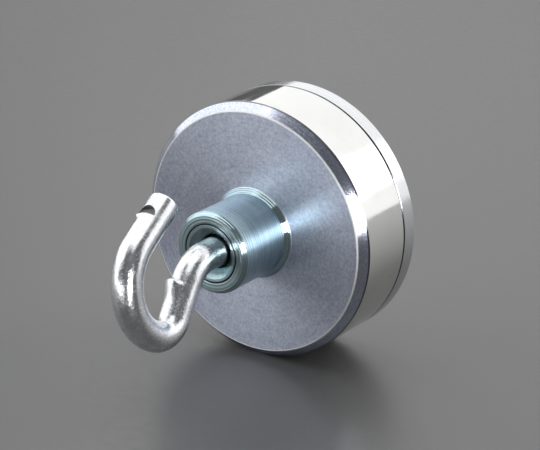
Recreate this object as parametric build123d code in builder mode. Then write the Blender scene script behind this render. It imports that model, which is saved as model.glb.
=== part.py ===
"""Single-sided fishing magnet with a swivelling wire hook, lying on its side.

The magnet's axis is Y: the working face is the plane y = 0 and looks towards +Y, the hook points
towards -Y, and +Z is up. The origin is the centre of the working face. All lengths are millimetres.
"""

import os
from math import cos, radians, sin

from build123d import *

# ---- driving dimensions -------------------------------------------------------------------------

BODY_RADIUS = 24.0  # steel case, 48 mm across
BODY_LENGTH = 16.6  # working face to plate face

PLATE_CHAMFER = 1.5  # 45 degree rim of the plate
PLATE_RIM_LAND = 0.15  # cylindrical land left behind that chamfer
PLATE_THICKNESS = 6.0
SLEEVE_WALL = 2.0
POLE_RING_HEIGHT = 3.5
POLE_RING_BORE = 20.3
POLE_RING_SPIGOT = 1.6  # how far the pole ring reaches into the sleeve
EDGE_BREAK = 0.25  # small chamfers, which make the grooves between the case's rings

MAGNET_RADIUS = 18.5
MAGNET_THICKNESS = 6.0
POLE_DISC_RADIUS = 17.5
RESIN_RECESS = 0.2  # the resin lies this far below the working face

BOSS_RADIUS = 7.6
BOSS_HEIGHT = 12.7
BOSS_CHAMFER = 0.7
BOSS_COLLAR = 1.0  # 45 degree cone at the foot of the boss
BOSS_COUNTERBORE = 5.4
BOSS_STUD_RADIUS = 5.0

NUT_RECESS_RADIUS = 9.5
NUT_RECESS_DEPTH = 3.2
NUT_ACROSS_FLATS = 14.0
NUT_THICKNESS = 2.4
LOCK_WASHER_RADIUS = 7.6
LOCK_WASHER_THICKNESS = 0.6
LOCK_WASHER_SPLIT = 0.8
LOCK_WASHER_SKEW = 15.0  # degrees, how far the split leans from radial

BUSH_LENGTH = 4.0
BUSH_BORE = 3.2
BUSH_MOUTH = 4.75  # radius of the countersunk mouth at the front face
THRUST_WASHER_RADIUS = 5.2
THRUST_WASHER_BORE = 3.2
THRUST_WASHER_THICKNESS = 0.8

WIRE_RADIUS = 2.8
HEAD_RADIUS = 4.6
HEAD_LENGTH = 2.6
HEAD_EDGE = 0.5
HEAD_PLAY = 0.15  # head to thrust washer
HEAD_END_PLAY = 0.3  # head to the bottom of the counterbore

# The wire's centreline, from the head outwards, in the hook's own plane. The shank runs straight out
# along the magnet's axis and bends off it, then a leg, a tight bend, the round of the loop and the tip.
ELBOW_START = 14.4  # distance in front of the plate face
ELBOW_RADIUS = 8.0
ELBOW_TURN = 48.0
LEG_LENGTH = 7.2
HEEL_RADIUS = 4.9
HEEL_TURN = 75.0
LOOP_RADIUS = 9.5
LOOP_TURN = 122.5
TIP_LENGTH = 9.7
TIP_CHAMFER = 0.45
HOOK_TURN = 9.0  # how far the hook's plane stands from upright, towards -X

# Half-moon mark cut into the outer side of the tip, with its straight side towards the loop.
MARK_FROM_TIP = 4.85
MARK_RADIUS = 1.8
MARK_DEPTH = 0.65

# ---- places along the axis ----------------------------------------------------------------------

plate_face_y = -BODY_LENGTH
rim_y = plate_face_y + PLATE_CHAMFER + PLATE_RIM_LAND
plate_back_y = plate_face_y + PLATE_THICKNESS
ring_front_y = -POLE_RING_HEIGHT
magnet_back_y = plate_back_y + MAGNET_THICKNESS
boss_front_y = plate_face_y - BOSS_HEIGHT
sleeve_bore = BODY_RADIUS - SLEEVE_WALL
recess_floor_y = plate_back_y - NUT_RECESS_DEPTH
bush_back_y = boss_front_y + BUSH_LENGTH
washer_back_y = bush_back_y + THRUST_WASHER_THICKNESS
head_front_y = washer_back_y + HEAD_PLAY
head_back_y = head_front_y + HEAD_LENGTH
counterbore_floor_y = head_back_y + HEAD_END_PLAY
nut_back_y = recess_floor_y + LOCK_WASHER_THICKNESS + NUT_THICKNESS

os.makedirs("parts", exist_ok=True)

# ---- plate and case -----------------------------------------------------------------------------

# The steel plate closes the case at the hook's end: a chamfered flange, and a spigot inside the sleeve.
with BuildPart() as yoke_plate:
    with BuildSketch(Plane.XY):
        with BuildLine():
            Polyline(
                (BOSS_STUD_RADIUS, plate_face_y),
                (BODY_RADIUS - PLATE_CHAMFER, plate_face_y),
                (BODY_RADIUS, plate_face_y + PLATE_CHAMFER),
                (BODY_RADIUS, rim_y),
                (sleeve_bore, rim_y),
                (sleeve_bore, plate_back_y),
                (NUT_RECESS_RADIUS, plate_back_y),
                (NUT_RECESS_RADIUS, recess_floor_y),
                (BOSS_STUD_RADIUS, recess_floor_y),
                close=True,
            )
        make_face()
    revolve(axis=Axis.Y)
yoke_plate.part.label = "yoke_plate"
export_step(yoke_plate.part, "parts/yoke_plate.step")

# The bright tube round the magnet.
with BuildPart() as case_sleeve:
    with BuildSketch(Plane.XY):
        with BuildLine():
            Polyline(
                (sleeve_bore, rim_y),
                (BODY_RADIUS - EDGE_BREAK, rim_y),
                (BODY_RADIUS, rim_y + EDGE_BREAK),
                (BODY_RADIUS, ring_front_y - EDGE_BREAK),
                (BODY_RADIUS - EDGE_BREAK, ring_front_y),
                (sleeve_bore, ring_front_y),
                close=True,
            )
        make_face()
    revolve(axis=Axis.Y)
case_sleeve.part.label = "case_sleeve"
export_step(case_sleeve.part, "parts/case_sleeve.step")

# The outer pole: a ring at the working face, with a spigot pressed into the sleeve.
with BuildPart() as pole_ring:
    with BuildSketch(Plane.XY):
        with BuildLine():
            Polyline(
                (POLE_RING_BORE, ring_front_y - POLE_RING_SPIGOT),
                (sleeve_bore, ring_front_y - POLE_RING_SPIGOT),
                (sleeve_bore, ring_front_y),
                (BODY_RADIUS - EDGE_BREAK, ring_front_y),
                (BODY_RADIUS, ring_front_y + EDGE_BREAK),
                (BODY_RADIUS, -EDGE_BREAK),
                (BODY_RADIUS - EDGE_BREAK, 0),
                (POLE_RING_BORE, 0),
                close=True,
            )
        make_face()
    revolve(axis=Axis.Y)
pole_ring.part.label = "pole_ring"
export_step(pole_ring.part, "parts/pole_ring.step")

# ---- magnet and centre pole ---------------------------------------------------------------------

with BuildPart() as magnet_disc:
    with BuildSketch(Plane.XZ.offset(-plate_back_y)):
        Circle(MAGNET_RADIUS)
    extrude(amount=-MAGNET_THICKNESS)
    chamfer(magnet_disc.edges().filter_by(GeomType.CIRCLE), EDGE_BREAK)
magnet_disc.part.label = "magnet_disc"
export_step(magnet_disc.part, "parts/magnet_disc.step")

# Non-magnetic ring that keeps the magnet in the middle of the sleeve.
with BuildPart() as spacer_ring:
    with BuildSketch(Plane.XZ.offset(-plate_back_y)):
        Circle(sleeve_bore)
        Circle(MAGNET_RADIUS, mode=Mode.SUBTRACT)
    extrude(amount=plate_back_y - (ring_front_y - POLE_RING_SPIGOT))
spacer_ring.part.label = "spacer_ring"
export_step(spacer_ring.part, "parts/spacer_ring.step")

# The centre pole carries the magnet's flux to the working face and guards the brittle magnet.
with BuildPart() as pole_disc:
    with BuildSketch(Plane.XZ.offset(-magnet_back_y)):
        Circle(POLE_DISC_RADIUS)
    extrude(amount=magnet_back_y)
    chamfer(pole_disc.edges().filter_by(GeomType.CIRCLE).sort_by(Axis.Y)[-1], EDGE_BREAK)
pole_disc.part.label = "pole_disc"
export_step(pole_disc.part, "parts/pole_disc.step")

# Cast resin seals the gap between the two poles.
with BuildPart() as face_resin:
    with BuildSketch(Plane.XZ.offset(-magnet_back_y)):
        Circle(POLE_RING_BORE)
        Circle(POLE_DISC_RADIUS, mode=Mode.SUBTRACT)
    extrude(amount=magnet_back_y + RESIN_RECESS)
face_resin.part.label = "face_resin"
export_step(face_resin.part, "parts/face_resin.step")

# ---- boss and its fastening ---------------------------------------------------------------------

# The boss holds the hook: a collar cone at its foot, a counterbore from the front, a stud behind.
with BuildPart() as boss:
    with BuildSketch(Plane.XY):
        with BuildLine():
            Polyline(
                (0, counterbore_floor_y),
                (BOSS_COUNTERBORE, counterbore_floor_y),
                (BOSS_COUNTERBORE, boss_front_y),
                (BOSS_RADIUS - BOSS_CHAMFER, boss_front_y),
                (BOSS_RADIUS, boss_front_y + BOSS_CHAMFER),
                (BOSS_RADIUS, plate_face_y - BOSS_COLLAR),
                (BOSS_RADIUS + BOSS_COLLAR, plate_face_y),
                (BOSS_STUD_RADIUS, plate_face_y),
                (BOSS_STUD_RADIUS, nut_back_y),
                (0, nut_back_y),
                close=True,
            )
        make_face()
    revolve(axis=Axis.Y)
boss.part.label = "boss"
export_step(boss.part, "parts/boss.step")

with BuildPart() as lock_washer:
    with BuildSketch(Plane.XZ.offset(-recess_floor_y)):
        Circle(LOCK_WASHER_RADIUS)
        Circle(BOSS_STUD_RADIUS, mode=Mode.SUBTRACT)
        with Locations((0, LOCK_WASHER_RADIUS)):
            Rectangle(
                LOCK_WASHER_SPLIT,
                2 * LOCK_WASHER_RADIUS,
                rotation=LOCK_WASHER_SKEW,
                mode=Mode.SUBTRACT,
            )
    extrude(amount=-LOCK_WASHER_THICKNESS)
lock_washer.part.label = "lock_washer"
export_step(lock_washer.part, "parts/lock_washer.step")

with BuildPart() as boss_nut:
    with BuildSketch(Plane.XZ.offset(-recess_floor_y - LOCK_WASHER_THICKNESS)):
        RegularPolygon(NUT_ACROSS_FLATS / 2, 6, major_radius=False)
        Circle(BOSS_STUD_RADIUS, mode=Mode.SUBTRACT)
    extrude(amount=-NUT_THICKNESS)
boss_nut.part.label = "boss_nut"
export_step(boss_nut.part, "parts/boss_nut.step")

# ---- swivel -------------------------------------------------------------------------------------

# The bush is pressed into the boss from the front, round the shank, and keeps the hook's head in.
with BuildPart() as swivel_bush:
    with BuildSketch(Plane.XY):
        with BuildLine():
            Polyline(
                (BUSH_BORE, bush_back_y),
                (BUSH_BORE, boss_front_y + BUSH_MOUTH - BUSH_BORE),
                (BUSH_MOUTH, boss_front_y),
                (BOSS_COUNTERBORE, boss_front_y),
                (BOSS_COUNTERBORE, bush_back_y),
                close=True,
            )
        make_face()
    revolve(axis=Axis.Y)
swivel_bush.part.label = "swivel_bush"
export_step(swivel_bush.part, "parts/swivel_bush.step")

with BuildPart() as thrust_washer:
    with BuildSketch(Plane.XZ.offset(-bush_back_y)):
        Circle(THRUST_WASHER_RADIUS)
        Circle(THRUST_WASHER_BORE, mode=Mode.SUBTRACT)
    extrude(amount=-THRUST_WASHER_THICKNESS)
thrust_washer.part.label = "thrust_washer"
export_step(thrust_washer.part, "parts/thrust_washer.step")

# ---- hook ---------------------------------------------------------------------------------------

# In the hook's plane, local x is the distance in front of the plate face and local y points up.
turn = radians(HOOK_TURN)
hook_plane = Plane(
    origin=(0, plate_face_y, 0), x_dir=(0, -1, 0), z_dir=(-cos(turn), 0, -sin(turn))
)

with BuildLine(hook_plane) as centreline:
    shank = Line((plate_face_y - head_front_y, 0), (ELBOW_START, 0))
    elbow = JernArc(shank @ 1, shank % 1, ELBOW_RADIUS, -ELBOW_TURN)
    leg = Line(elbow @ 1, elbow @ 1 + (elbow % 1) * LEG_LENGTH)
    heel = JernArc(leg @ 1, leg % 1, HEEL_RADIUS, HEEL_TURN)
    loop = JernArc(heel @ 1, heel % 1, LOOP_RADIUS, LOOP_TURN)
    tip = Line(loop @ 1, loop @ 1 + (loop % 1) * TIP_LENGTH)

# The mark's plane touches the wire's outer side, with its local x towards the tip.
tip_direction = tip % 1
outwards = tip_direction.rotate(Axis((0, 0, 0), hook_plane.z_dir), -90)
mark_plane = Plane(
    origin=tip @ 1 - tip_direction * MARK_FROM_TIP + outwards * WIRE_RADIUS,
    x_dir=tip_direction,
    z_dir=outwards,
)

with BuildPart() as hook:
    with BuildSketch(Plane(origin=shank @ 0, z_dir=shank % 0)):
        Circle(WIRE_RADIUS)
    sweep(path=centreline.line)
    chamfer(hook.faces().sort_by_distance(tip @ 1)[0].edges(), TIP_CHAMFER)
    with BuildSketch(Plane.XY):
        with BuildLine():
            Polyline(
                (0, head_front_y),
                (HEAD_RADIUS, head_front_y),
                (HEAD_RADIUS, head_back_y - HEAD_EDGE),
                (HEAD_RADIUS - HEAD_EDGE, head_back_y),
                (0, head_back_y),
                close=True,
            )
        make_face()
    revolve(axis=Axis.Y)
    with BuildSketch(mark_plane):
        Circle(MARK_RADIUS)
        with Locations((-MARK_RADIUS, 0)):
            Rectangle(2 * MARK_RADIUS, 2 * MARK_RADIUS, mode=Mode.SUBTRACT)
    extrude(amount=MARK_DEPTH, both=True, mode=Mode.SUBTRACT)
hook.part.label = "hook"
export_step(hook.part, "parts/hook.step")
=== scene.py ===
"""Looks of a magnet fishing magnet: turned, plated steel round a pot magnet, with a bent wire hook.

Lengths in the tables below are millimetres and become metres through MM. The magnet's axis is Y, the
hook points towards -Y, and the case lies on its side on the floor.
"""

import math

import bmesh
import bpy
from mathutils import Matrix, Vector, noise


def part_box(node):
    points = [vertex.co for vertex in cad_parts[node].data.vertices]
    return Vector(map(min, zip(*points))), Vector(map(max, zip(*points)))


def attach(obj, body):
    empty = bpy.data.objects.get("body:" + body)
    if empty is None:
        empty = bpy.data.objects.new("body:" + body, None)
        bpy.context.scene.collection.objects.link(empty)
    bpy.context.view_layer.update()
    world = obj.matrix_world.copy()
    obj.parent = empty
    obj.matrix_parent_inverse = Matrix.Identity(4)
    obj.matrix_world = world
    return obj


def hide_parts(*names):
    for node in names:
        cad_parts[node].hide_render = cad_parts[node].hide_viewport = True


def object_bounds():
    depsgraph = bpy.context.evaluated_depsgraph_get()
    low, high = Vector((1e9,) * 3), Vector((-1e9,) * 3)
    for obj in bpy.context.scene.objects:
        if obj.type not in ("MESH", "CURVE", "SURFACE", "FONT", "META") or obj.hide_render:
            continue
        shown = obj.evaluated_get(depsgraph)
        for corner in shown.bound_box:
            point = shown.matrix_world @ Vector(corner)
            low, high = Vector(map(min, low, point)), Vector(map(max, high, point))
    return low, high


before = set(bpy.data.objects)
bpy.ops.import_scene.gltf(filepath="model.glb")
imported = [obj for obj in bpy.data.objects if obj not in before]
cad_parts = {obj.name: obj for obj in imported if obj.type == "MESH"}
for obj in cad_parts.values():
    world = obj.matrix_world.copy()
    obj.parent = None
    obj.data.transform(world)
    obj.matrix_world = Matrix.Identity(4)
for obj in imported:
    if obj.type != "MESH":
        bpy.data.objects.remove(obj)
cad_low, cad_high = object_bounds()

MM = 0.001
BODY = "magnet_body"
HOOK = "hook"

# ---- sizes that the frame's boxes don't give ------------------------------------------------------

PLATE_CHAMFER = 1.5
EDGE_BREAK = 0.25
BOSS_CHAMFER = 0.7
BOSS_COLLAR = 1.0
BUSH_MOUTH = 4.75
BUSH_BORE = 3.2
BOSS_STUD_RADIUS = 5.0
SLEEVE_WALL = 2.0
NUT_RECESS_RADIUS = 9.5
NUT_RECESS_DEPTH = 3.2
HEAD_END_PLAY = 0.3  # hook's head to the bottom of the boss's counterbore
AXIS_GAP = 0.001  # closed profiles stop this far short of the axis
SHARP_EDGE = 0.1  # rounding of the crisp turned edges
TURNED_SEGMENTS = 288

# Finishes: half widths of the lines of painted shade in the seams and of the painted highlights on the
# edges.
SEAM_WIDTH = 0.28
SLEEVE_SEAM_WIDTH = 0.3
ROUND_SEAM_WIDTH = 0.22
EDGE_HIGHLIGHT_WIDTH = 0.18
SMOOTHING_RAMP = 0.1  # over which the finish changes from turned to smooth

WIRE_RADIUS = 2.8
HEAD_RADIUS = 4.6
HEAD_LENGTH = 2.6
HEAD_EDGE = 0.5
ELBOW_START = 14.4
HOOK_TURN = math.radians(9.0)
# (kind, radius or None, turn in degrees or length in mm) of each stretch after the shank
WIRE_STRETCHES = (
    ("arc", 8.0, -48.0),
    ("line", None, 7.2),
    ("arc", 4.9, 75.0),
    ("arc", 9.5, 122.5),
    ("line", None, 9.7),
)

# Details of the wire's skin. Distances run along the wire, from the head or back from the tip. Angles run
# round it, from 0 on the eye's side towards -X, and 180 degrees is the outer side.
TIP_EDGE = 0.45
MARK_FROM_TIP = 4.85
MARK_RADIUS = 1.8
MARK_DEPTH = 0.65
BURR_FROM_TIP, BURR_LENGTH, BURR_HEIGHT = 5.2, 0.55, 0.32
BURR_SIDE, BURR_SPREAD = math.radians(147), math.radians(14)
CREASE_AT, CREASE_RISE, CREASE_LENGTH, CREASE_HEIGHT, CREASE_BOW = 16.7, 0.8, 4.4, 0.8, 1.3
CREASE_SIDE, CREASE_SPREAD = math.radians(30), math.radians(74)
WAVINESS = 0.03

# ---- places from the frame ------------------------------------------------------------------------


def span(node):
    """(outer radius, lowest y, highest y) of a round node, in mm."""
    low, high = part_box(node)
    return high[0] / MM, low[1] / MM, high[1] / MM


body_radius, plate_face, plate_back = span("yoke_plate")
_, sleeve_front, sleeve_back = span("case_sleeve")
_, ring_inner_end, ring_face = span("pole_ring")
collar_radius, boss_front, stud_end = span("boss")
bush_radius, _, bush_back = span("swivel_bush")
resin_radius, _, _ = span("face_resin")
pole_radius, pole_back, pole_face = span("pole_disc")
boss_radius = collar_radius - BOSS_COLLAR
head_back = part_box("hook")[1][1] / MM
floor_z = cad_low[2]

# ---- meshes ---------------------------------------------------------------------------------------


def mesh_object(name, vertices, faces, material):
    """A smooth-shaded mesh from vertices in mm."""
    mesh = bpy.data.meshes.new(name)
    mesh.from_pydata([tuple(c * MM for c in v) for v in vertices], [], faces)
    mesh.validate()
    mesh.polygons.foreach_set("use_smooth", [True] * len(mesh.polygons))
    mesh.materials.append(material)
    piece = bpy.data.objects.new(name, mesh)
    bpy.context.collection.objects.link(piece)
    weight_normals(piece)
    return piece


def weight_normals(piece):
    weighted = piece.modifiers.new("weighted_normals", "WEIGHTED_NORMAL")
    weighted.mode = "FACE_AREA"
    weighted.weight = 60
    weighted.keep_sharp = True


def rounded(corners, steps=3):
    """A closed profile of (radius, y, rounding) corners, with each corner rounded by its own arc."""
    points = []
    count = len(corners)
    for i, (r, y, rounding) in enumerate(corners):
        here = Vector((r, y))
        if not rounding:
            points.append(here)
            continue
        before = (Vector(corners[i - 1][:2]) - here).normalized()
        after = (Vector(corners[(i + 1) % count][:2]) - here).normalized()
        half = before.angle(after) / 2
        cut = rounding / math.tan(half)
        centre = here + (before + after).normalized() * (rounding / math.sin(half))
        start = here + before * cut - centre
        end = here + after * cut - centre
        for k in range(steps + 1):
            blend = start.lerp(end, k / steps).normalized() * rounding
            points.append(centre + blend)
    return points


def turned(name, corners, material):
    """A solid turned about Y from a closed (radius, y, rounding) profile."""
    profile = rounded(corners)
    vertices, faces = [], []
    count = len(profile)
    for j in range(TURNED_SEGMENTS):
        angle = 2 * math.pi * j / TURNED_SEGMENTS
        s, c = math.sin(angle), math.cos(angle)
        vertices.extend((p[0] * s, p[1], p[0] * c) for p in profile)
    for j in range(TURNED_SEGMENTS):
        a, b = j * count, (j + 1) % TURNED_SEGMENTS * count
        for k in range(count):
            n = (k + 1) % count
            faces.append((a + k, b + k, b + n, a + n))
    return mesh_object(name, vertices, faces, material)


def turned_disc(name, corners, material):
    """A solid disc turned about Y. The profile is open: it starts and ends on the axis."""
    profile = [p for p in rounded(corners) if p[0] > 0]
    vertices = [(0.0, corners[0][1], 0.0), (0.0, corners[-1][1], 0.0)]
    faces = []
    count = len(profile)
    for j in range(TURNED_SEGMENTS):
        angle = 2 * math.pi * j / TURNED_SEGMENTS
        s, c = math.sin(angle), math.cos(angle)
        vertices.extend((p[0] * s, p[1], p[0] * c) for p in profile)
    for j in range(TURNED_SEGMENTS):
        a, b = 2 + j * count, 2 + (j + 1) % TURNED_SEGMENTS * count
        faces.append((0, b, a))
        for k in range(count - 1):
            faces.append((a + k, b + k, b + k + 1, a + k + 1))
        faces.append((a + count - 1, b + count - 1, 1))
    return mesh_object(name, vertices, faces, material)


# ---- materials ------------------------------------------------------------------------------------


# Near-black of the painted shade that lines the seams between parts.
SEAM_SHADE = (0.1, 0.1, 0.105, 1.0)
# White of the painted highlight on sharp edges.
EDGE_HIGHLIGHT = (1.0, 1.0, 1.0, 1.0)
MIX_COLOUR_INPUTS = (0, 6, 7)  # of a mix node: factor, A and B
MIX_COLOUR_OUTPUT = 2


class Shader:
    """A material under construction, with short names for the nodes that the finishes share."""

    def __init__(self, name, metallic, roughness, **constants):
        self.material = bpy.data.materials.new(name)
        self.material.use_nodes = True
        self.tree = self.material.node_tree
        self.bsdf = self.tree.nodes["Principled BSDF"]
        self.bsdf.inputs["Metallic"].default_value = metallic
        self.bsdf.inputs["Roughness"].default_value = roughness
        for key, value in constants.items():
            self.bsdf.inputs[key.replace("_", " ")].default_value = value
        self.place = self.node("ShaderNodeTexCoord").outputs["Object"]
        self.split = None

    def node(self, kind, **settings):
        made = self.tree.nodes.new(kind)
        for key, value in settings.items():
            setattr(made, key, value)
        return made

    def link(self, output, socket):
        self.tree.links.new(output, socket)

    def put(self, socket, value):
        """Sets a socket to a constant, or links an output to it."""
        if isinstance(value, bpy.types.NodeSocket):
            self.link(value, socket)
        else:
            socket.default_value = value

    def math(self, operation, a, b=0.0):
        made = self.node("ShaderNodeMath", operation=operation)
        self.put(made.inputs[0], a)
        self.put(made.inputs[1], b)
        return made.outputs[0]

    def noise(self, vector, scale, detail=3.0, roughness=0.55):
        made = self.node("ShaderNodeTexNoise")
        self.link(vector, made.inputs["Vector"])
        made.inputs["Scale"].default_value = scale
        made.inputs["Detail"].default_value = detail
        made.inputs["Roughness"].default_value = roughness
        return made.outputs["Fac"]

    def range(self, value, low, high, to_low, to_high):
        made = self.node("ShaderNodeMapRange")
        self.put(made.inputs["Value"], value)
        for key, number in zip(("From Min", "From Max", "To Min", "To Max"), (low, high, to_low, to_high)):
            made.inputs[key].default_value = number
        return made.outputs["Result"]

    def ramp(self, value, *stops):
        """A colour ramp of (position, colour) stops."""
        made = self.node("ShaderNodeValToRGB")
        self.link(value, made.inputs["Fac"])
        elements = made.color_ramp.elements
        while len(elements) < len(stops):
            elements.new(0.5)
        for element, (position, colour) in zip(elements, stops):
            element.position = position
            element.color = (*colour, 1.0)
        return made.outputs["Color"]

    def axes(self):
        """(x, y, z, distance from the Y axis) of the shaded point."""
        if not self.split:
            x, y, z = self.node("ShaderNodeSeparateXYZ").outputs
            self.link(self.place, x.node.inputs[0])
            squares = self.math("ADD", self.math("MULTIPLY", x, x), self.math("MULTIPLY", z, z))
            self.split = (x, y, z, self.math("SQRT", squares))
        return self.split

    def polar(self, around=1.0, across=1.0, along=1.0):
        """Coordinates that follow a turned surface: slow round the axis, fast across the tool marks."""
        x, y, z, radius = self.axes()
        safe = self.math("MAXIMUM", radius, 1e-5)
        joined = self.node("ShaderNodeCombineXYZ")
        self.link(self.math("MULTIPLY", self.math("DIVIDE", x, safe), around), joined.inputs[0])
        self.link(self.math("MULTIPLY", self.math("DIVIDE", z, safe), around), joined.inputs[1])
        cut = self.math("ADD", self.math("MULTIPLY", radius, across), self.math("MULTIPLY", y, along))
        self.link(cut, joined.inputs[2])
        return joined.outputs[0]

    def blend(self, *parts):
        """The sum of (output, share) parts."""
        total = None
        for output, share in parts:
            part = self.math("MULTIPLY", output, share)
            total = part if total is None else self.math("ADD", total, part)
        return total

    def near(self, value, place, half_width):
        """1 where a value is at its place in mm, falling to 0 at half_width on either side."""
        offset = self.math("ABSOLUTE", self.math("SUBTRACT", value, place * MM))
        return self.range(offset, half_width * 0.5 * MM, half_width * MM, 1.0, 0.0)

    def mix(self, amount, colour, other, blend_type="MIX"):
        """Changes a colour towards a constant one, as far as amount says."""
        made = self.node("ShaderNodeMix", data_type="RGBA", blend_type=blend_type)
        factor, first, second = (made.inputs[i] for i in MIX_COLOUR_INPUTS)
        self.link(amount, factor)
        self.link(colour, first)
        second.default_value = other
        return made.outputs[MIX_COLOUR_OUTPUT]

    def darken(self, colour, amount):
        """Darkens a colour with painted shade where amount is 1."""
        return self.mix(amount, colour, SEAM_SHADE, "MULTIPLY")

    def bump(self, *layers):
        """Stacks (height output, distance in metres, strength) layers into the surface normal."""
        normal = None
        for height, distance, strength in layers:
            made = self.node("ShaderNodeBump")
            made.inputs["Strength"].default_value = strength
            made.inputs["Distance"].default_value = distance
            self.link(height, made.inputs["Height"])
            if normal is not None:
                self.link(normal, made.inputs["Normal"])
            normal = made.outputs["Normal"]
        self.link(normal, self.bsdf.inputs["Normal"])

    def tool_direction(self, rotation=0.25):
        """Stretches highlights across the tool marks, which run round the Y axis."""
        tangent = self.node("ShaderNodeTangent", direction_type="RADIAL", axis="Y")
        self.link(tangent.outputs[0], self.bsdf.inputs["Tangent"])
        self.bsdf.inputs["Anisotropic Rotation"].default_value = rotation


def turned_steel(
    name, dark, light, roughness, anisotropic, rings, depth, *, grain_share=0.35, grain_scale=3000.0,
    smooth_beyond=None, seams=(), round_seam=None, highlight_edge=None, comb=None,
):
    """Turned and plated steel: concentric tool marks, a fine grain and a slow drift of tone.

    Rings is the fineness of the tool marks and grain_scale that of the grain, both per metre, and depth is
    how deep the marks are, in metres. The other lengths are millimetres. Beyond the radius smooth_beyond,
    where a form tool cut the chamfers, the finish is brighter. Seams are the places along Y where a line of
    painted shade darkens the colour, and round_seam is the radius of one in a flat face. The highlight_edge
    is the radius of a sharp edge with a painted highlight, which is also made rougher. A comb is the
    (pitch, depth) of the regular grooves of a feeding tool.
    """
    s = Shader(name, metallic=1.0, roughness=roughness, Anisotropic=anisotropic)
    _, along, _, radius = s.axes()
    marks = s.noise(s.polar(around=0.8, across=rings, along=rings), 1.0, 4.0, 0.6)
    arcs = s.noise(s.polar(around=7.0, across=rings * 2.2, along=rings * 2.2), 1.0, 2.0)
    grain = s.noise(s.place, grain_scale, 2.0, 0.7)
    drift = s.noise(s.place, 90.0, 3.0)
    tone = s.blend((marks, 0.8 - grain_share), (grain, grain_share), (drift, 0.2))
    colour = s.ramp(tone, (0.34, dark), (0.66, light))
    # Painted shade: dark lines in the seams between parts, and round the joint at round_seam.
    for seam in seams:
        colour = s.darken(colour, s.near(along, seam, SEAM_WIDTH))
    if round_seam:
        colour = s.darken(colour, s.near(radius, round_seam, ROUND_SEAM_WIDTH))
    # Painted highlight: the colour at a sharp edge is lifted towards white, and its roughness is raised.
    if highlight_edge:
        edge_highlight = s.near(radius, highlight_edge, EDGE_HIGHLIGHT_WIDTH)
        colour = s.mix(edge_highlight, colour, EDGE_HIGHLIGHT)
    s.link(colour, s.bsdf.inputs["Base Color"])
    rough = s.blend((arcs, 0.5), (grain, 0.5))
    rough = s.range(rough, 0.25, 0.75, roughness * 0.8, roughness * 1.25)
    if smooth_beyond:
        edge = s.range(radius, smooth_beyond * MM, (smooth_beyond + SMOOTHING_RAMP) * MM, 1.0, 0.42)
        rough = s.math("MULTIPLY", rough, edge)
    if highlight_edge:
        rough = s.math("ADD", rough, s.math("MULTIPLY", edge_highlight, 0.3))
    s.link(rough, s.bsdf.inputs["Roughness"])
    layers = [(grain, depth * grain_share * 3, 0.5), (marks, depth, 0.8), (arcs, depth * 0.6, 0.5)]
    if comb:
        pitch, comb_depth = comb
        uneven = s.noise(s.polar(around=0.3, across=900.0, along=900.0), 1.0, 2.0)
        turns = s.math("MULTIPLY", s.math("ADD", along, radius), 2 * math.pi / (pitch * MM))
        turns = s.math("ADD", turns, s.math("MULTIPLY", uneven, 2.2))
        layers.append((s.math("SINE", turns), comb_depth * MM, 1.0))
    s.bump(*layers)
    s.tool_direction()
    return s.material


def bright_nickel():
    """The drawn tube: mirror-bright plating with faint rolling lines and a trace of orange peel."""
    s = Shader("nickel_case", metallic=1.0, roughness=0.09)
    lines = s.noise(s.polar(around=1.5, across=0.0, along=2600.0), 1.0, 4.0, 0.6)
    peel = s.noise(s.place, 420.0, 2.0)
    haze = s.noise(s.place, 120.0, 4.0, 0.6)
    colour = s.ramp(haze, (0.3, (0.67, 0.67, 0.65)), (0.7, (0.73, 0.73, 0.71)))
    # Painted shade: dark lines at the sleeve's two seams.
    for seam in (sleeve_front, sleeve_back):
        colour = s.darken(colour, s.near(s.axes()[1], seam, SLEEVE_SEAM_WIDTH))
    s.link(colour, s.bsdf.inputs["Base Color"])
    s.link(s.range(haze, 0.3, 0.7, 0.05, 0.13), s.bsdf.inputs["Roughness"])
    s.bump((peel, 0.00002, 0.25), (lines, 0.000003, 0.6))
    return s.material


def bright_wire():
    """Bent wire with bright zinc: soft highlights, and patches that sparkle where the skin is open."""
    s = Shader("bright_wire", metallic=1.0, roughness=0.2)
    sparkle = s.noise(s.place, 2400.0, 3.0, 0.75)
    peel = s.noise(s.place, 650.0, 3.0)
    patches = s.range(s.noise(s.place, 170.0, 3.0), 0.42, 0.62, 0.25, 1.0)
    tone = s.blend((sparkle, 0.55), (peel, 0.45))
    colour = s.ramp(tone, (0.34, (0.66, 0.68, 0.71)), (0.58, (0.87, 0.88, 0.9)))
    s.link(colour, s.bsdf.inputs["Base Color"])
    s.link(s.range(sparkle, 0.3, 0.7, 0.13, 0.3), s.bsdf.inputs["Roughness"])
    s.bump((s.math("MULTIPLY", sparkle, patches), 0.0001, 0.6), (peel, 0.00003, 0.3))
    return s.material


def cast_resin():
    """Black epoxy: slightly uneven, with tiny bubbles and dust in its gloss."""
    s = Shader("cast_resin", metallic=0.0, roughness=0.25, IOR=1.55)
    waves = s.noise(s.place, 260.0, 3.0)
    dust = s.noise(s.place, 3200.0, 2.0, 0.7)
    colour = s.ramp(dust, (0.35, (0.012, 0.012, 0.014)), (0.75, (0.03, 0.03, 0.033)))
    s.link(colour, s.bsdf.inputs["Base Color"])
    s.link(s.range(dust, 0.3, 0.7, 0.18, 0.4), s.bsdf.inputs["Roughness"])
    s.bump((waves, 0.0002, 0.4), (dust, 0.00002, 0.4))
    return s.material


def moulded_nylon():
    """Off-white nylon with a fine moulded grain."""
    s = Shader("spacer_plastic", metallic=0.0, roughness=0.5)
    grain = s.noise(s.place, 900.0, 3.0)
    colour = s.ramp(grain, (0.3, (0.72, 0.71, 0.66)), (0.7, (0.82, 0.81, 0.77)))
    s.link(colour, s.bsdf.inputs["Base Color"])
    s.link(s.range(grain, 0.3, 0.7, 0.42, 0.58), s.bsdf.inputs["Roughness"])
    s.bump((grain, 0.00003, 0.3))
    return s.material


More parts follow.
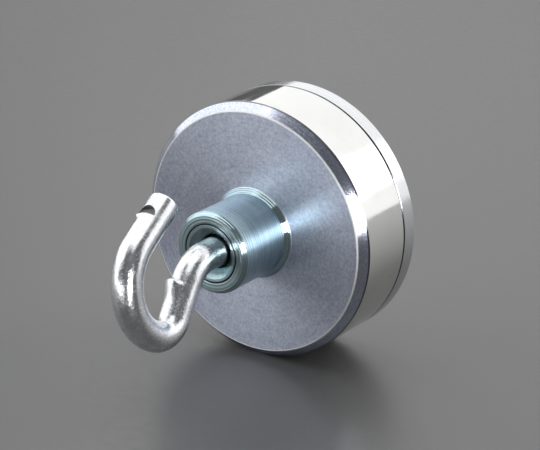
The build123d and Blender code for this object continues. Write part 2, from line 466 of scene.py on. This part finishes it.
def studio_floor():
    """A plain, even table top with a soft sheen and a very fine texture."""
    s = Shader("studio_floor", metallic=0.0, roughness=0.35)
    grain = s.noise(s.place, 700.0, 4.0, 0.6)
    colour = s.ramp(grain, (0.3, (0.11, 0.11, 0.108)), (0.7, (0.13, 0.13, 0.128)))
    s.link(colour, s.bsdf.inputs["Base Color"])
    s.link(s.range(grain, 0.3, 0.7, 0.3, 0.4), s.bsdf.inputs["Roughness"])
    s.bump((grain, 0.00005, 0.2))
    return s.material


# The seam arguments below paint shade into the joints between parts. The edge radii paint a highlight onto
# the chamfers' edges.
zinc_plate = turned_steel(
    "zinc_plate", (0.47, 0.52, 0.68), (0.84, 0.88, 1.0), 0.42, 0.6, 2200.0, 0.000014,
    grain_share=0.6, grain_scale=2500.0, smooth_beyond=body_radius - PLATE_CHAMFER + 0.15,
    seams=(sleeve_front,), highlight_edge=body_radius - PLATE_CHAMFER,
)
zinc_boss = turned_steel(
    "zinc_boss", (0.38, 0.53, 0.57), (0.62, 0.79, 0.84), 0.22, 0.75, 2300.0, 0.00002,
    grain_share=0.12, smooth_beyond=boss_radius + 0.03, round_seam=bush_radius, highlight_edge=collar_radius,
    comb=(0.62, 0.015),
)
zinc_ring = turned_steel(
    "zinc_ring", (0.60, 0.61, 0.63), (0.72, 0.73, 0.74), 0.2, 0.6, 2600.0, 0.000008, seams=(sleeve_back,),
)
plain_steel = turned_steel(
    "plain_steel", (0.36, 0.36, 0.38), (0.5, 0.5, 0.52), 0.35, 0.5, 2600.0, 0.00001,
)
magnet_nickel = turned_steel(
    "magnet_nickel", (0.66, 0.65, 0.61), (0.78, 0.77, 0.73), 0.25, 0.2, 900.0, 0.00001,
)
# Near-black steel that the mark's faces take, so the notch is much darker than the wire round it.
dark_mark_steel = turned_steel("dark_mark_steel", (0.1, 0.1, 0.11), (0.2, 0.2, 0.21), 0.45, 0.0, 2600.0, 0.00002)
nickel_case = bright_nickel()
wire_plating = bright_wire()
resin = cast_resin()
nylon = moulded_nylon()

# ---- case -----------------------------------------------------------------------------------------


def finish_piece(piece, body, node):
    """Hands a piece over to its body and the CAD node that it stands in for."""
    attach(piece, body)
    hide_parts(node)


def make_case():
    """The plate, the bright sleeve, and the two poles at the working face."""
    rim = sleeve_front
    bore = body_radius - SLEEVE_WALL
    recess_floor = plate_back - NUT_RECESS_DEPTH
    plate = turned(
        "plate",
        (
            (BOSS_STUD_RADIUS, plate_face, 0),
            (body_radius - PLATE_CHAMFER, plate_face, SHARP_EDGE),
            (body_radius, plate_face + PLATE_CHAMFER, 0.06),
            (body_radius, rim, 0.03),
            (bore, rim, 0),
            (bore, plate_back, 0),
            (NUT_RECESS_RADIUS, plate_back, 0),
            (NUT_RECESS_RADIUS, recess_floor, 0),
            (BOSS_STUD_RADIUS, recess_floor, 0),
        ),
        zinc_plate,
    )
    finish_piece(plate, BODY, "yoke_plate")
    sleeve = turned(
        "sleeve",
        (
            (bore, rim, 0),
            (body_radius - EDGE_BREAK, rim, 0.05),
            (body_radius, rim + EDGE_BREAK, 0.08),
            (body_radius, sleeve_back - EDGE_BREAK, 0.08),
            (body_radius - EDGE_BREAK, sleeve_back, 0.05),
            (bore, sleeve_back, 0),
        ),
        nickel_case,
    )
    finish_piece(sleeve, BODY, "case_sleeve")
    ring = turned(
        "rear_ring",
        (
            (resin_radius, ring_inner_end, 0),
            (bore, ring_inner_end, 0),
            (bore, sleeve_back, 0),
            (body_radius - EDGE_BREAK, sleeve_back, 0.05),
            (body_radius, sleeve_back + EDGE_BREAK, 0.08),
            (body_radius, ring_face - EDGE_BREAK, 0.08),
            (body_radius - EDGE_BREAK, ring_face, 0.08),
            (resin_radius, ring_face, 0.05),
        ),
        zinc_ring,
    )
    finish_piece(ring, BODY, "pole_ring")
    centre = turned_disc(
        "centre_pole",
        (
            (0, pole_back, 0),
            (pole_radius, pole_back, 0),
            (pole_radius, pole_face - EDGE_BREAK, 0.08),
            (pole_radius - EDGE_BREAK, pole_face, 0.08),
            (0, pole_face, 0),
        ),
        zinc_ring,
    )
    finish_piece(centre, BODY, "pole_disc")


make_case()

# ---- boss -----------------------------------------------------------------------------------------


def make_boss():
    """The hook holder, and the bush pressed into its front."""
    floor_y = head_back + HEAD_END_PLAY
    boss = turned(
        "boss_turning",
        (
            (AXIS_GAP, floor_y, 0),
            (bush_radius, floor_y, 0),
            (bush_radius, boss_front, 0.05),
            (boss_radius - BOSS_CHAMFER, boss_front, 0.07),
            (boss_radius, boss_front + BOSS_CHAMFER, 0.07),
            (boss_radius, plate_face - BOSS_COLLAR, 0.08),
            (collar_radius, plate_face, 0.05),
            (BOSS_STUD_RADIUS, plate_face, 0),
            (BOSS_STUD_RADIUS, stud_end, 0),
            (AXIS_GAP, stud_end, 0),
        ),
        zinc_boss,
    )
    finish_piece(boss, BODY, "boss")
    bush = turned(
        "bush",
        (
            (BUSH_BORE, bush_back, 0),
            (BUSH_BORE, boss_front + BUSH_MOUTH - BUSH_BORE, 0.05),
            (BUSH_MOUTH, boss_front, 0.06),
            (bush_radius, boss_front, 0.05),
            (bush_radius, bush_back, 0),
        ),
        zinc_boss,
    )
    finish_piece(bush, BODY, "swivel_bush")


make_boss()

# ---- hook -----------------------------------------------------------------------------------------

RING_POINTS = 120
STATION_STEP = 0.15  # mm
TIP_STEPS = 6
MARK_STEPS = 32
SHARP_ANGLE = math.radians(38)  # faces that meet more steeply keep a crisp edge


def wire_centreline():
    """Stations along the wire: (distance from the head, forward, up, heading) in the hook's plane."""
    forward, up, heading = plate_face - head_back, 0.0, 0.0
    stations = [(0.0, forward, up, heading)]

    def advance(length, curvature):
        nonlocal forward, up, heading
        steps = max(1, round(length / STATION_STEP))
        for _ in range(steps):
            step = length / steps
            middle = heading + curvature * step / 2
            forward += step * math.cos(middle)
            up += step * math.sin(middle)
            heading += curvature * step
            stations.append((stations[-1][0] + step, forward, up, heading))

    advance(ELBOW_START - forward, 0.0)
    for kind, radius, amount in WIRE_STRETCHES:
        if kind == "line":
            advance(amount, 0.0)
        else:
            turn = math.radians(amount)
            advance(radius * abs(turn), math.copysign(1 / radius, turn))
    return stations


def beside(station, along, inward, sideways):
    """A point given from a station of the wire, in the row frame in mm.

    It lies a step along the wire, a step inward to the eye and a step to the side.
    """
    _, forward, up, heading = station
    forward += along * math.cos(heading) - inward * math.sin(heading)
    up += along * math.sin(heading) + inward * math.cos(heading)
    c, s = math.cos(HOOK_TURN), math.sin(HOOK_TURN)
    return (-s * up - c * sideways, plate_face - forward, c * up - s * sideways)


def smooth_step(t):
    t = min(max(t, 0.0), 1.0)
    return t * t * (3 - 2 * t)


def angle_between(a, b):
    return abs((a - b + math.pi) % (2 * math.pi) - math.pi)


def wire_relief(distance, from_tip, around):
    """How far the skin stands out of the plain wire: the heel's crease, the mark's burr, waviness."""
    aside = angle_between(around, CREASE_SIDE) / CREASE_SPREAD
    past = distance - CREASE_AT - CREASE_BOW * aside * aside
    crease = smooth_step(past / CREASE_RISE + 0.5) * (1 - smooth_step(past / CREASE_LENGTH))
    crease *= 1 - smooth_step((aside - 0.3) / 0.7)
    burr = 1 - smooth_step(abs(from_tip - BURR_FROM_TIP) / BURR_LENGTH)
    burr *= 1 - smooth_step(angle_between(around, BURR_SIDE) / BURR_SPREAD)
    wave = (noise.noise(Vector((distance * 0.35, math.cos(around), math.sin(around)))) - 1) / 2
    return CREASE_HEIGHT * crease + BURR_HEIGHT * burr + WAVINESS * wave


def wire_rings():
    """The wire's skin from head to tip, as (station, step along, radius, has relief) rings."""
    stations = wire_centreline()
    head = ((0.0, HEAD_RADIUS - HEAD_EDGE), (HEAD_EDGE, HEAD_RADIUS), (HEAD_LENGTH, HEAD_RADIUS))
    rings = [(stations[0], along, radius, False) for along, radius in head]
    end = stations[-1]
    for station in stations:
        if HEAD_LENGTH <= station[0] < end[0] - TIP_EDGE:
            rings.append((station, 0.0, WIRE_RADIUS, True))
    for k in range(TIP_STEPS + 1):
        angle = math.pi / 2 * k / TIP_STEPS
        along = -TIP_EDGE * (1 - math.sin(angle))
        rings.append((end, along, WIRE_RADIUS - TIP_EDGE * (1 - math.cos(angle)), True))
    return rings


def cut_mark(wire, end):
    """Cuts the half-moon mark into the wire's outer side, near the tip."""
    arc = [math.pi * (k / MARK_STEPS - 0.5) for k in range(MARK_STEPS + 1)]
    vertices = [
        beside(end, MARK_RADIUS * math.cos(a) - MARK_FROM_TIP, -height, MARK_RADIUS * math.sin(a))
        for height in (WIRE_RADIUS - MARK_DEPTH, WIRE_RADIUS + MARK_DEPTH)
        for a in arc
    ]
    count = len(arc)
    faces = [tuple(range(count)), tuple(range(count, 2 * count))]
    faces.extend((k, (k + 1) % count, (k + 1) % count + count, k + count) for k in range(count))
    # The cutter's near-black steel passes to the faces of the mark.
    cutter = mesh_object("mark_cutter", vertices, faces, dark_mark_steel)
    shape = bmesh.new()
    shape.from_mesh(cutter.data)
    bmesh.ops.recalc_face_normals(shape, faces=shape.faces)
    shape.to_mesh(cutter.data)
    shape.free()
    wire.modifiers.clear()
    cut = wire.modifiers.new("mark", "BOOLEAN")
    cut.operation = "DIFFERENCE"
    cut.solver = "EXACT"
    cut.material_mode = "TRANSFER"
    cut.object = cutter
    evaluated = wire.evaluated_get(bpy.context.evaluated_depsgraph_get())
    marked = bpy.data.meshes.new_from_object(evaluated)
    wire.modifiers.clear()
    wire.data = marked
    marked.name = wire.name
    marked.set_sharp_from_angle(angle=SHARP_ANGLE)
    weight_normals(wire)
    bpy.data.objects.remove(cutter)


def make_hook():
    """The wire as one skin, ring after ring, closed at the head and at the tip."""
    rings = wire_rings()
    end = rings[-1][0]
    vertices, faces = [], []
    for station, along, radius, has_relief in rings:
        distance = station[0] + along
        for k in range(RING_POINTS):
            around = 2 * math.pi * k / RING_POINTS
            relief = wire_relief(distance, end[0] - distance, around) if has_relief else 0.0
            r = radius + relief
            vertices.append(beside(station, along, r * math.cos(around), r * math.sin(around)))
    for i in range(len(rings) - 1):
        a, b = i * RING_POINTS, (i + 1) * RING_POINTS
        for k in range(RING_POINTS):
            n = (k + 1) % RING_POINTS
            faces.append((a + k, a + n, b + n, b + k))
    last = (len(rings) - 1) * RING_POINTS
    tip, tail = len(vertices), len(vertices) + 1
    vertices.append(beside(end, 0.0, 0.0, 0.0))
    vertices.append(beside(rings[0][0], 0.0, 0.0, 0.0))
    for k in range(RING_POINTS):
        n = (k + 1) % RING_POINTS
        faces.append((last + k, last + n, tip))
        faces.append((n, k, tail))
    wire = mesh_object("hook_wire", vertices, faces, wire_plating)
    cut_mark(wire, end)
    finish_piece(wire, HOOK, "hook")


make_hook()

# ---- CAD nodes that keep their shape --------------------------------------------------------------

CARRIED_OVER = {
    "face_resin": resin,
    "magnet_disc": magnet_nickel,
    "spacer_ring": nylon,
    "boss_nut": plain_steel,
    "lock_washer": plain_steel,
    "thrust_washer": plain_steel,
}
for name, material in CARRIED_OVER.items():
    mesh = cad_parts[name].data
    mesh.materials.clear()
    mesh.materials.append(material)

# ---- studio ---------------------------------------------------------------------------------------


FLOOR_REACH = 3.0  # metres from the middle to each side
LIGHT_DISTANCE = 1.2

# What the magnet sees of each panel: (azimuth from +Y towards +X, elevation above the horizon, width,
# height) in degrees, and radiance. The strip's glare would fill the floor, so it is kept off it.
SOFTBOXES = {
    "overhead_softbox": (0.0, 90.0, 56.0, 48.0, 1.22),
    "left_softbox": (-106.0, 32.0, 72.0, 60.0, 1.22),
    "back_softbox": (2.0, 38.0, 80.0, 50.0, 1.2),
    "right_back_panel": (50.0, 17.0, 44.0, 36.0, 1.2),
    "back_left_panel": (-54.0, 26.0, 30.0, 34.0, 0.65),
    "right_strip": (124.0, 8.0, 8.0, 20.0, 34.0),
    "front_card": (-172.0, 5.0, 46.0, 11.0, 2.2),
    "front_left_card": (-138.0, 5.0, 34.0, 11.0, 1.0),
}
OFF_THE_FLOOR = "right_strip"


def make_floor():
    half = FLOOR_REACH / MM
    corners = [(x * half, y * half, floor_z / MM) for x, y in ((-1, -1), (1, -1), (1, 1), (-1, 1))]
    floor = mesh_object("floor", corners, [(0, 1, 2, 3)], studio_floor())
    return floor


def softbox(name, azimuth, elevation, width, height, radiance):
    """A soft panel that faces the magnet and shows in reflections only."""
    turn, rise = math.radians(azimuth), math.radians(elevation)
    out = Vector((math.sin(turn) * math.cos(rise), math.cos(turn) * math.cos(rise), math.sin(rise)))
    light = bpy.data.lights.new(name, "AREA")
    light.shape = "RECTANGLE"
    light.size = 2 * LIGHT_DISTANCE * math.tan(math.radians(width) / 2)
    light.size_y = 2 * LIGHT_DISTANCE * math.tan(math.radians(height) / 2)
    light.energy = math.pi * light.size * light.size_y * radiance
    box = bpy.data.objects.new(name, light)
    bpy.context.collection.objects.link(box)
    box.location = out * LIGHT_DISTANCE
    box.rotation_euler = (-out).to_track_quat("-Z", "Y").to_euler()
    box.visible_camera = False
    return box


def leave_out(light, unlit):
    """Keeps a light's glare off one object."""
    linked = bpy.data.collections.new(light.name + "_linking")
    linked.objects.link(unlit)
    light.light_linking.receiver_collection = linked
    linked.collection_objects[0].light_linking.link_state = "EXCLUDE"


floor = make_floor()
for name, aim in SOFTBOXES.items():
    box = softbox(name, *aim)
    if name == OFF_THE_FLOOR:
        leave_out(box, floor)

world = bpy.data.worlds.new("studio")
bpy.context.scene.world = world
world.use_nodes = True
surroundings = world.node_tree.nodes["Background"]
surroundings.inputs["Color"].default_value = (0.5, 0.51, 0.53, 1.0)
surroundings.inputs["Strength"].default_value = 0.25
bpy.context.scene.view_settings.view_transform = "Standard"

# ---- camera ---------------------------------------------------------------------------------------

CAMERA_AZIMUTH = math.radians(35.2)
CAMERA_ELEVATION = math.radians(20.9)
CAMERA_DISTANCE = 0.436
CAMERA_LENS = 162.5
CAMERA_AIM = Vector((3.7, -16.4, 2.2)) * MM


def make_camera():
    back = Vector(
        (
            math.sin(CAMERA_AZIMUTH) * math.cos(CAMERA_ELEVATION),
            -math.cos(CAMERA_AZIMUTH) * math.cos(CAMERA_ELEVATION),
            math.sin(CAMERA_ELEVATION),
        )
    )
    data = bpy.data.cameras.new("camera")
    data.lens = CAMERA_LENS
    camera = bpy.data.objects.new("camera", data)
    bpy.context.collection.objects.link(camera)
    camera.location = CAMERA_AIM + back * CAMERA_DISTANCE
    camera.rotation_euler = (-back).to_track_quat("-Z", "Y").to_euler()
    bpy.context.scene.camera = camera


make_camera()
